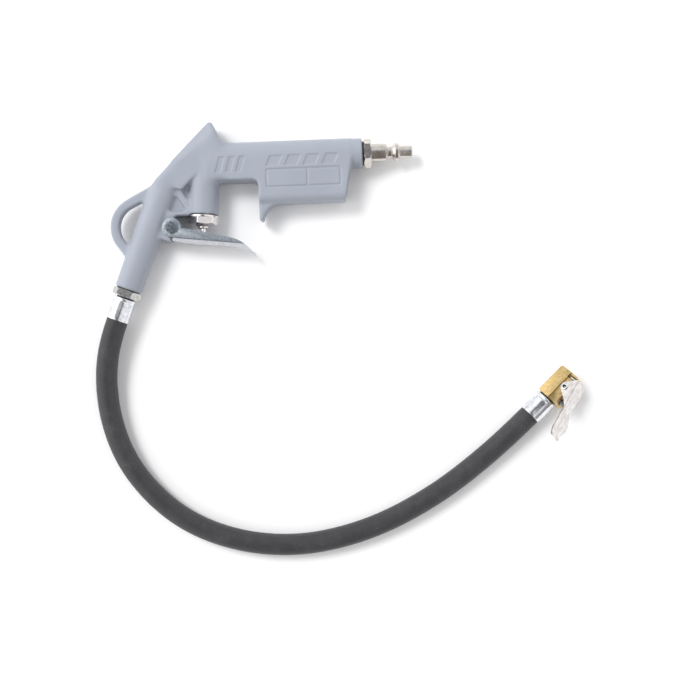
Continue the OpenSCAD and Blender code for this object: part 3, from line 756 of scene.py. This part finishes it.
def tube_faces(count, sides, step, round_mm):
    """Faces of a thick tube of two sets of rings, outer then inner, with their places on the wrap in mm."""
    faces, uvs = [], []
    inner = count * sides
    for i in range(count - 1):
        for k in range(sides):
            n = (k + 1) % sides
            quad = (i * sides + k, i * sides + n, (i + 1) * sides + n, (i + 1) * sides + k)
            u0, u1 = round_mm * k / sides, round_mm * (k + 1) / sides
            v0, v1 = i * step, (i + 1) * step
            faces.append(quad)
            uvs += [(u0, v0), (u1, v0), (u1, v1), (u0, v1)]
            faces.append(tuple(inner + point for point in reversed(quad)))
            uvs += [(u0, v1), (u1, v1), (u1, v0), (u0, v0)]
    for i, turn in ((0, 1), (count - 1, -1)):
        for k in range(sides):
            n = (k + 1) % sides
            quad = (i * sides + k, inner + i * sides + k, inner + i * sides + n, i * sides + n)
            faces.append(quad[::turn])
            uvs += [(k, 0), (k, 3), (k + 1, 3), (k + 1, 0)]
    return faces, uvs


def hose():
    """Thick rubber tube along the route, with the wrap's lengths kept as a UV map."""
    sides, step = 48, 1.6
    path = hose_line(step)
    points = tube_rings(path, HOSE_R, sides) + tube_rings(path, HOSE_BORE_R, sides)
    faces, uvs = tube_faces(len(path), sides, step, math.tau * HOSE_R)
    data = bpy.data.meshes.new("air_hose")
    data.from_pydata(points, [], faces)
    layer = data.uv_layers.new(name="wrap")
    layer.data.foreach_set("uv", np.array(uvs, np.float32).ravel())
    item = settle(object_of("air_hose", data, HOSE, 60), "hose_rubber", "gun", "hose")
    return item, [place(*point) for point in path]


def crimped(share):
    """Radius of a sleeve pressed by eight jaws, from round (0) to fully pressed (1)."""
    full, pressed, jaws = 7.45, 7.32, 8
    return flats(2 * (full - (full - pressed) * share), full, jaws)


def sleeve(name, matrix, start):
    """Crimped sleeve, closed but for the neck at its start, with a rolled lip at its end."""
    neck, inner, length = 5.75, HOSE_R + 0.03, 15
    shoulder = [(0, neck), (0, 7.1), (0.1, 7.35), (0.3, 7.45), (1.2, 7.45)]
    groove = [(1.5, 7.25), (2, 7.2), (2.3, 7.35)]
    jaws = [(height, crimped(share)) for height, share in ((2.8, 0.5), (3.4, 1), (12.4, 1), (13, 0.5))]
    lip = [(13.6, 7.42), (14.4, 7.45), (14.85, 7.38), (length, 7.15)]
    inside = [(length, inner), (0.9, inner), (0.7, neck)]
    outline = [(start + height, radius) for height, radius in shoulder + groove + jaws + lip + inside]
    return turned(name, outline, matrix, ALUMINIUM, 128, ease=0, sharp=35)


# ---- Gun casting ----

MARK_DEPTH = 0.55
LEAN = 3


def box_distance(x, y, middle, half, corner):
    """Distance outside a rectangle with round corners, negative inside."""
    dx = np.abs(x - middle[0]) - half[0] + corner
    dy = np.abs(y - middle[1]) - half[1] + corner
    outside = np.hypot(np.maximum(dx, 0), np.maximum(dy, 0))
    return outside + np.minimum(np.maximum(dx, dy), 0) - corner


def bar_distance(x, y, left, low, width, height):
    """Distance outside one leaning bar, negative inside."""
    upright = x - LEAN * (y - low) / height
    return box_distance(upright, y, (left + width / 2, low + height / 2), (width / 2, height / 2), 0.5)


def marks_distance(x, y):
    """Distance to the recessed bars and the blank label frame, negative inside them."""
    found = [bar_distance(x, y, left, 21.9, 3.6, 10) for left in (-28.2, -21.6, -15)]
    found += [bar_distance(x, y, left, 25, 8, 6.6) for left in (4.5, 16.5, 28.5, 40.5)]
    outer = box_distance(x, y, (28.65, 17.1), (24.25, 6.1), 1.8)
    wide_window = box_distance(x, y, (18, 17.1), (12.6, 5.1), 0.9)
    short_window = box_distance(x, y, (41.75, 17.1), (10.15, 5.1), 0.9)
    found.append(np.maximum(outer, -np.minimum(wide_window, short_window)))
    return np.minimum.reduce(found)


def level_set(points, faces, voxel, band):
    """Distance grid of a closed mesh of triangles or quads, in millimetres."""
    empty = {3: np.zeros((0, 3), np.uint32), 4: np.zeros((0, 4), np.uint32)}
    empty[faces.shape[1]] = faces.astype(np.uint32)
    return openvdb.FloatGrid.createLevelSetFromPolygons(
        points.astype(np.float32), triangles=empty[3], quads=empty[4],
        transform=openvdb.createLinearTransform(voxelSize=voxel), halfWidth=band / voxel,
    )


def cast_form(points, triangles, fillet, edge):
    """The same solid with cast fillets in its inner corners and rounded outer edges."""
    fine, coarse = 0.45, 0.7
    grown, quads = level_set(points, triangles, fine, fillet + 1).convertToQuads(isovalue=fillet)
    inside = -fillet - edge
    shrunk, quads = level_set(grown, quads, fine, 1 - inside).convertToQuads(isovalue=inside)
    return level_set(shrunk, quads, coarse, edge + 2 * coarse).convertToQuads(isovalue=edge)


def relax(points, quads, weight, rounds):
    """Moves points towards the middle of their neighbours, by weight."""
    edges = np.concatenate([quads[:, [i, (i + 1) % 4]] for i in range(4)])
    edges = np.unique(np.sort(edges, axis=1), axis=0)
    count = np.bincount(edges.ravel(), minlength=len(points))[:, None]
    for _ in range(rounds):
        total = np.zeros_like(points)
        np.add.at(total, edges[:, 0], points[edges[:, 1]])
        np.add.at(total, edges[:, 1], points[edges[:, 0]])
        points = points + 0.5 * weight[:, None] * (total / count - points)
    return points


def blended_zone(x, y):
    """How freely the casting's form flows: fully at the head, where barrel, column and tube meet."""
    def zone(middle, radius, edge):
        return np.clip((radius - np.hypot(x - middle[0], y - middle[1])) / edge, 0, 1)

    mouth = zone((-61, 21), 12, 6)
    shoulder = zone((-24, 38), 13, 6)
    column_top = zone((-33, 36), 11, 6)
    junction = zone((-27, 19), 9, 5)
    return np.maximum.reduce([mouth, shoulder, column_top, junction])


def casting():
    """The gun's body: the CAD solid with cast fillets, soft edges and its recessed marks."""
    data = NODES["body_casting"].data
    points = np.zeros(len(data.vertices) * 3, np.float32)
    data.vertices.foreach_get("co", points)
    points = points.reshape(-1, 3) / MM + [*LAYOUT_MID, 0]
    data.calc_loop_triangles()
    triangles = np.zeros(len(data.loop_triangles) * 3, np.int32)
    data.loop_triangles.foreach_get("vertices", triangles)
    # The marks are levelled first, because the fillets would fill them
    marks_reach, marks_top, fillet, edge = 0.7, 32.2, 1.1, 0.75
    x, y, z = points.T
    side = np.sign(z - MID_Z)
    on_face = (np.abs(z - MID_Z) > GRIP_HALF - marks_reach) & (y < marks_top)
    on_mark = on_face & (marks_distance(x, y) < marks_reach)
    z[on_mark] = (MID_Z + side * GRIP_HALF)[on_mark]
    points, quads = cast_form(np.stack([x, y, z], 1), triangles.reshape(-1, 3), fillet, edge)
    quads = quads.astype(np.int64)
    x, y, z = points.T
    hook = np.clip((-79.5 - 0.25 * (y + 10) - x) / 3, 0, 1) * (y > -27)
    points = relax(points, quads, hook, 8)
    points = relax(points, quads, blended_zone(x, y), 60)
    data = bpy.data.meshes.new("gun_casting")
    data.from_pydata([place(*point) for point in points], [], quads.tolist())
    mesh = bmesh.new()
    mesh.from_mesh(data)
    bmesh.ops.recalc_face_normals(mesh, faces=mesh.faces)
    cut_marks(mesh)
    mesh.to_mesh(data)
    mesh.free()
    return settle(object_of("gun_casting", data, PAINT, 0), "painted_casting", "gun", "body_casting")


def cut_marks(mesh):
    """Finer faces round the marks' edges, then the marks pressed into both faces of the grip."""
    marks_top, edge_width = 33, 0.9

    def layout_of(point):
        return point.x / MM + LAYOUT_MID[0], point.y / MM + LAYOUT_MID[1], point.z / MM

    def near(face):
        x, y, z = layout_of(face.calc_center_median())
        on_face = abs(z - MID_Z) > GRIP_HALF - 0.4 and y < marks_top
        return on_face and abs(marks_distance(np.array([x]), np.array([y]))[0]) < 1

    edges = {edge for face in mesh.faces if near(face) for edge in face.edges}
    bmesh.ops.subdivide_edges(mesh, edges=list(edges), cuts=1, use_grid_fill=True)
    tops = [vert for vert in mesh.verts if abs(vert.co.z / MM - MID_Z) > GRIP_HALF - 0.4]
    places = np.array([layout_of(vert.co) for vert in tops])
    share = np.clip(0.5 - marks_distance(places[:, 0], places[:, 1]) / edge_width, 0, 1)
    share = share * share * (3 - 2 * share) * (places[:, 1] < marks_top)
    for vert, part in zip(tops, share):
        vert.co.z -= math.copysign(MARK_DEPTH * part * MM, vert.co.z / MM - MID_Z)


# ---- Air plug ----

def plug():
    """Quick-connect plug: shank, washer face, hexagon, sleeve, groove, collar and nose."""
    bore = 2.9
    outline = [(72.5, bore), (72.5, 5.75), (82.4, 5.75), (82.9, 5.2), (83.5, 3.75), (86.1, 3.75)]
    outline += [(88.5, 5.8), (90.4, 5.8), (91.4, 4.05), (99, 4.05), (99.5, 3.6), (99.5, bore)]
    body = turned("plug", outline, INLET, NICKEL)
    shank = turned("shank", [(55, bore), (55, 5.1), (55.5, 5.5), (69, 5.5), (69, bore)], INLET, NICKEL)
    hexagon = nut("hexagon", 16.4, 68.1, 72.9, bore, INLET, NICKEL, False)
    settle(joined("air_plug", body, shank, hexagon), "nickel", "gun", "inlet_plug")
    washer = [(66.8, 5.6), (66.8, 7.7), (68.3, 7.7), (68.3, 5.6)]
    washer = turned("plug_washer", washer, INLET, RUBBER, ease=0.4)
    settle(washer, "seal_rubber", "gun", "inlet_seal")


# ---- Valve gland and stem ----

def gland():
    """Nickel gland: flange, hexagon, cone and guide collar, with its threaded shank in the column."""
    bore = 1.8
    shank = [(-1, bore), (-1, 6.5), (8.5, 6.5), (8.5, 4.5), (2, 4.5), (2, bore)]
    flange = [(-1.9, bore), (-1.9, 9.3), (-1.7, 9.5), (-0.6, 9.5), (-0.4, 9.3), (-0.4, bore)]
    cone = [(-9, bore), (-9, 2.8), (-8.8, 3.25), (-8.45, 3.5), (-8.1, 3.5), (-7.8, 3.3)]
    cone += [(-7.6, 3.8), (-6, 5.9), (-5.5, 6.3), (-5.5, bore)]
    shank = turned("shank", shank, COLUMN, CHROME)
    flange = turned("flange", flange, COLUMN, CHROME)
    hexagon = nut("hexagon", 16.6, -6.3, -1.8, bore, COLUMN, CHROME, True, math.radians(13))
    cone = turned("cone", cone, COLUMN, CHROME)
    settle(joined("valve_gland", shank, flange, hexagon, cone), "nickel", "gun", "valve_cap")


def stem():
    """Valve stem with its rounded tip, a bead above it and the head over the seat."""
    outline = [
        (-17.6, 0), (-17.5, 0.8), (-17.1, 1.4), (-16.5, 1.75), (18.6, 1.75),
        (18.6, 3.6), (20.4, 3.6), (20.4, 1.6), (22.5, 1.6), (22.5, 0),
    ]
    settle(turned("stem_rod", outline, COLUMN, CHROME, 64, 0.08), "nickel", "stem", "valve_stem")


# ---- Trigger ----

def softened(name, node, material, width_of, segments):
    """Copy of a CAD node with its facets merged and its edges rounded by width_of(edge), in mm."""
    data = NODES[node].data.copy()
    mesh = bmesh.new()
    mesh.from_mesh(data)
    bmesh.ops.remove_doubles(mesh, verts=mesh.verts, dist=0.001 * MM)
    bmesh.ops.dissolve_limit(mesh, angle_limit=math.radians(1), verts=mesh.verts, edges=mesh.edges)
    layer = mesh.edges.layers.float.new("bevel_weight_edge")
    widths = {edge: width_of(edge) for edge in mesh.edges if edge.calc_face_angle(0) > math.radians(28)}
    widest = max(widths.values())
    for edge, width in widths.items():
        edge[layer] = width / widest
    mesh.to_mesh(data)
    mesh.free()
    item = object_of(name, data, material, 0)
    bevel = item.modifiers.new("bevel", "BEVEL")
    bevel.limit_method = "WEIGHT"
    bevel.width = widest * MM
    bevel.segments = segments
    bevel.harden_normals = True
    return applied(item)


def applied(item):
    """Makes the piece's modifiers part of its mesh."""
    bpy.context.view_layer.update()
    shape = item.evaluated_get(bpy.context.evaluated_depsgraph_get())
    data = bpy.data.meshes.new_from_object(shape)
    item.modifiers.clear()
    item.data = data
    return item


def trigger():
    """Stamped channel whose web runs into its cheeks in a wide outer bend."""
    half_width, outer_bend, broken_edge = 7.1, 2.2, 0.55

    def width_of(edge):
        ends = [vert.co for vert in edge.verts]
        on_side = all(abs(abs(co.z / MM - MID_Z) - half_width) < 0.05 for co in ends)
        normals = [face.normal for face in edge.link_faces]
        under = any(normal.y < -0.3 and abs(normal.z) < 0.1 for normal in normals)
        return outer_bend if on_side and under else broken_edge

    lever = softened("trigger_lever", "trigger", TRIGGER_ZINC, width_of, 6)
    settle(lever, "zinc_steel", "trigger", "trigger")


def trigger_rivet():
    """Rivet with two low heads, each a flat disc with a turned edge."""
    outline = [(-8.8, 0), (-8.8, 3.7), (-8.55, 4.1), (-8.2, 4.2), (-7.4, 4.2), (-7.4, 2)]
    outline += [(-height, radius) for height, radius in reversed(outline)]
    settle(turned("trigger_rivet", outline, PIVOT, DULL_ZINC, 72, 0.1), "nickel", "gun", "trigger_pin")


# ---- Hose fittings ----

def outlet_fitting():
    """Hexagon, neck and barbed tail between the barrel and the hose."""
    bore, tail_start, barbs, barb_step = 2.6, 7.4, 3, 6.6
    hexagon = nut("hexagon", 16.4, 0.5, 5.3, bore, OUTLET, NUT_ZINC, False)
    thread = [(-11.5, bore), (-11.5, 5), (-11, 5.35), (1, 5.35), (1, bore)]
    thread = turned("thread", thread, OUTLET, NUT_ZINC)
    fitting = settle(joined("outlet_fitting", hexagon, thread), "zinc_steel", "gun", "outlet_nipple")
    outline = [(5, bore), (5, 5.6), (tail_start, 5.6), (tail_start, 4)]
    for barb in range(barbs):
        base = tail_start + barb_step * barb
        outline += [(base, 4), (base + 6.2, 3.45)]
    outline.append((tail_start + barb_step * barbs, bore))
    # Painted shade: the tail is near black, so its neck between the hexagon and the sleeve reads as a shaded gap.
    tail = settle(turned("outlet_tail", outline, OUTLET, NEAR_BLACK), "zinc_steel", "gun")
    return fitting, tail


# ---- Chuck ----

def chuck_block():
    """Machined brass block with broken edges."""
    block = softened("chuck_block", "chuck_body", BRASS, lambda edge: 0.15, 2)
    return settle(block, "brass", "gun", "chuck_body")


def lever_row(half, height, depth):
    """Points across the lever's sheet at one station: an ear, its fold, the flat, the other fold and ear."""
    fold_steps, flat_steps = 5, 9
    radius = min(1.1, depth * 0.8)
    ear = [(-half, height - depth + (depth - radius) * k / 3) for k in range(4)]
    for k in range(1, fold_steps + 1):
        angle = math.pi / 2 * k / fold_steps
        ear.append((-half + radius * (1 - math.cos(angle)), height - radius + radius * math.sin(angle)))
    flat = [((half - radius) * (2 * k / flat_steps - 1), height) for k in range(1, flat_steps)]
    return ear + flat + [(-across, level) for across, level in reversed(ear)]


def lever_sheet():
    """The lever's folded sheet: two ears, a waist, a thumb paddle and a curled tail."""
    stations = [
        # Along the chuck, height of the spine, half width, depth of the ears
        (20.7, 12.2, 7.3, 0.9), (19.4, 12.7, 7.3, 2.6), (17.6, 13.3, 7.3, 4.9), (15.6, 13.9, 7.3, 7.4),
        (14, 14.4, 7.3, 9.2), (12.8, 14.8, 7.3, 10), (11.6, 15.1, 7.3, 10.2), (10.2, 15.5, 7.3, 9.8),
        (8.6, 16, 7.3, 7.9), (6.8, 16.5, 7.3, 5.2), (5, 17, 7.3, 2.9), (3.2, 17.5, 7.2, 1.3),
        (1, 18.3, 7.2, 0.5), (-1.5, 19.4, 8.1, 0.35), (-4, 20.7, 9.4, 0.3), (-6.5, 21.8, 9.9, 0.3),
        (-9, 22.4, 9.7, 0.3), (-11.5, 22.7, 8.8, 0.3), (-13.6, 23.1, 7.6, 0.3), (-15, 23.8, 6.9, 0.3),
        (-15.8, 24.8, 6.5, 0.25),
    ]
    points, faces = [], []
    # Each row after the first is joined to the row before it
    for along, height, half, depth in smooth_route(stations, 0.9):
        row = lever_row(half, height, depth)
        first = len(points)
        points += [(along, level, across) for across, level in row]
        if first:
            wide = len(row)
            faces += [(k - wide, k + 1 - wide, k + 1, k) for k in range(first, first + wide - 1)]
    sheet = piece("thumb_lever", points, faces, PRESSED, CHUCK, 50)
    thickness = sheet.modifiers.new("sheet", "SOLIDIFY")
    thickness.thickness = 1.1 * MM
    thickness.offset = -1
    edges = sheet.modifiers.new("edges", "BEVEL")
    edges.width = 0.2 * MM
    edges.segments = 2
    edges.limit_method = "ANGLE"
    edges.angle_limit = math.radians(50)
    return applied(sheet)


def lever_tooth():
    """The tooth that reaches through the block's slot, under the lever's front edge."""
    outline = [(18.95, 4.6), (20, 4.6), (20.3, 12.1), (19.1, 12.1)]
    corners = [(along, height, side * 5.3) for side in (-1, 1) for along, height in outline]
    sides = [(0, 1, 2, 3), (7, 6, 5, 4)]
    sides += [(k, k + 4, (k + 1) % 4 + 4, (k + 1) % 4) for k in range(4)]
    tooth = piece("tooth", corners, sides, PRESSED, CHUCK)
    rounded = tooth.modifiers.new("edges", "BEVEL")
    rounded.width = 0.3 * MM
    rounded.segments = 3
    return applied(tooth)


def thumb_lever():
    """Stamped thumb lever, with its tooth."""
    item = joined("thumb_lever", lever_sheet(), lever_tooth())
    item.data.shade_smooth()
    item.data.set_sharp_from_angle(angle=math.radians(40))
    return settle(item, "pressed_steel", "lever", "chuck_lever")


def lever_rivet():
    """Tubular rivet with rolled heads, and a near-black lining in its hole as painted shade."""
    matrix = CHUCK @ Matrix.Translation((*LEVER_PIVOT, 0))
    outline = [(-8.1, 1), (-8.45, 1.4), (-8.3, 1.9), (-8, 2.2), (-7.6, 2.15), (-7.5, 1.6)]
    outline += [(-height, radius) for height, radius in reversed(outline)]
    rivet = turned("lever_rivet", outline, matrix, ALUMINIUM, 48, 0.1)
    settle(rivet, "zinc_steel", "gun", "chuck_rivet")
    # Painted shade: a near-black lining inside the rivet's hole.
    bore = [(-8.3, 0.75), (-8.3, 1.15), (8.3, 1.15), (8.3, 0.75)]
    return rivet, settle(turned("rivet_painted_shade", bore, matrix, NEAR_BLACK, 48, 0.05), "zinc_steel", "gun")


def spring(name, node, joint, along, anchor, keep):
    """Coil that is pressed along its own axis, towards its fixed end."""
    coil = object_of(name, NODES[node].data.copy(), SPRING, 60)
    settle(coil, "spring_steel", "gun", node)
    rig.squash(coil, joint, axis=tuple(along), anchor=tuple(anchor), keep=keep)
    return coil


def valve_spring():
    """Its fixed end is at the chamber's end, 34.4 mm up the column."""
    fixed_end = COLUMN @ Vector((0, 0, 34.4))
    return spring("valve_coil", "valve_spring", "stem_slide", heading(86), fixed_end, 0.785)


def chuck_spring():
    """Its fixed end is on the pocket's floor, 5.4 mm out from the port's axis."""
    fixed_end = CHUCK @ Vector((3.6, 5.4, 0))
    return spring("chuck_coil", "chuck_spring", "lever_press", CHUCK_OUT, fixed_end, 0.79)


def keep_nodes():
    """CAD nodes whose own shape shows, with finished materials."""
    looks = {
        RUBBER: ("cap_seal", "stem_seal", "valve_disc", "outlet_seal", "chuck_seal"),
        NYLON: ("valve_seat",),
        NEAR_BLACK: ("chuck_nipple",),
        BRASS: ("chuck_pin",),
    }
    for material, names in looks.items():
        for name in names:
            NODES[name].data.materials.clear()
            NODES[name].data.materials.append(material)


camera()
air_hose, hose_path = hose()
gun_sleeve = settle(sleeve("gun_sleeve", OUTLET, 6.3), "bright_aluminium", "gun", "gun_ferrule")
chuck_sleeve = settle(sleeve("chuck_sleeve", CHUCK_HOSE, 1), "bright_aluminium", "gun", "chuck_ferrule")
fitting, tail = outlet_fitting()
block = chuck_block()
lever = thumb_lever()
rivet, rivet_painted_shade = lever_rivet()
casting()
plug()
gland()
stem()
trigger()
trigger_rivet()
valve_spring()
chuck_coil = chuck_spring()
keep_nodes()
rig.cord(
    air_hose,
    exit=hose_path[0],
    length=sum((b - a).length for a, b in zip(hose_path, hose_path[1:])),
    diameter=2 * HOSE_R * MM,
    far_end="tool",
    stiffness="stiff",
    lay="loose",
    path=hose_path,
    with_pieces=[
        fitting, tail, gun_sleeve, chuck_sleeve, block, lever, rivet, rivet_painted_shade,
        NODES["chuck_nipple"], NODES["chuck_seal"], NODES["chuck_pin"], chuck_coil,
    ],
)
studio_world()
key_light()
floor()
bpy.context.scene.view_settings.view_transform = "Standard"

sizes = [[[float(c) for c in corner] for corner in box] for box in (cad_box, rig.bounds())]
with open("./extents.json", "w") as out:
    json.dump(sizes, out)
